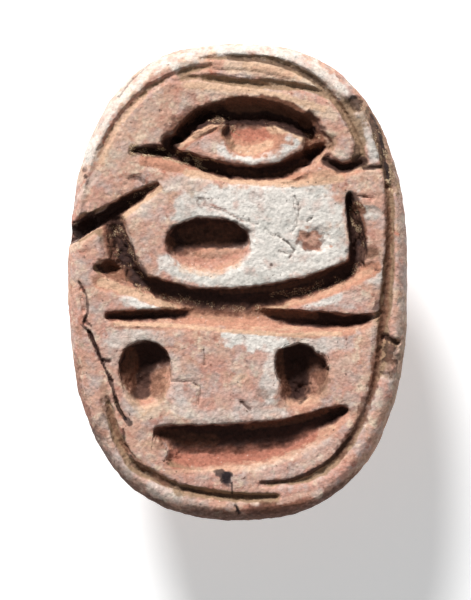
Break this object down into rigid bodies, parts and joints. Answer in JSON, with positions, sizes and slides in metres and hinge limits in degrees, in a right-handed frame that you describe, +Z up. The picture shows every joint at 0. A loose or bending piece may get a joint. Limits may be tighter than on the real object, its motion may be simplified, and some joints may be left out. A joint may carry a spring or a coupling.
{
  "type": "scarab amulet",
  "caption": "Carved and worn scarab amulet in pale pink stone, lying on the beetle's back with the incised seal face up",
  "frame": {"origin": "on the surface that the amulet lies on, under the middle of its outline", "axes": "+Z is up, out of the carved face; +Y runs along the amulet to the beetle's head, the top of the picture; +X is across it, to the picture's right"},
  "size_m": [0.012, 0.017, 0.0074],
  "materials": {
    "steatite": "matte"
  },
  "bodies": {
    "root": {"scarab": "steatite"}
  },
  "joints": []
}
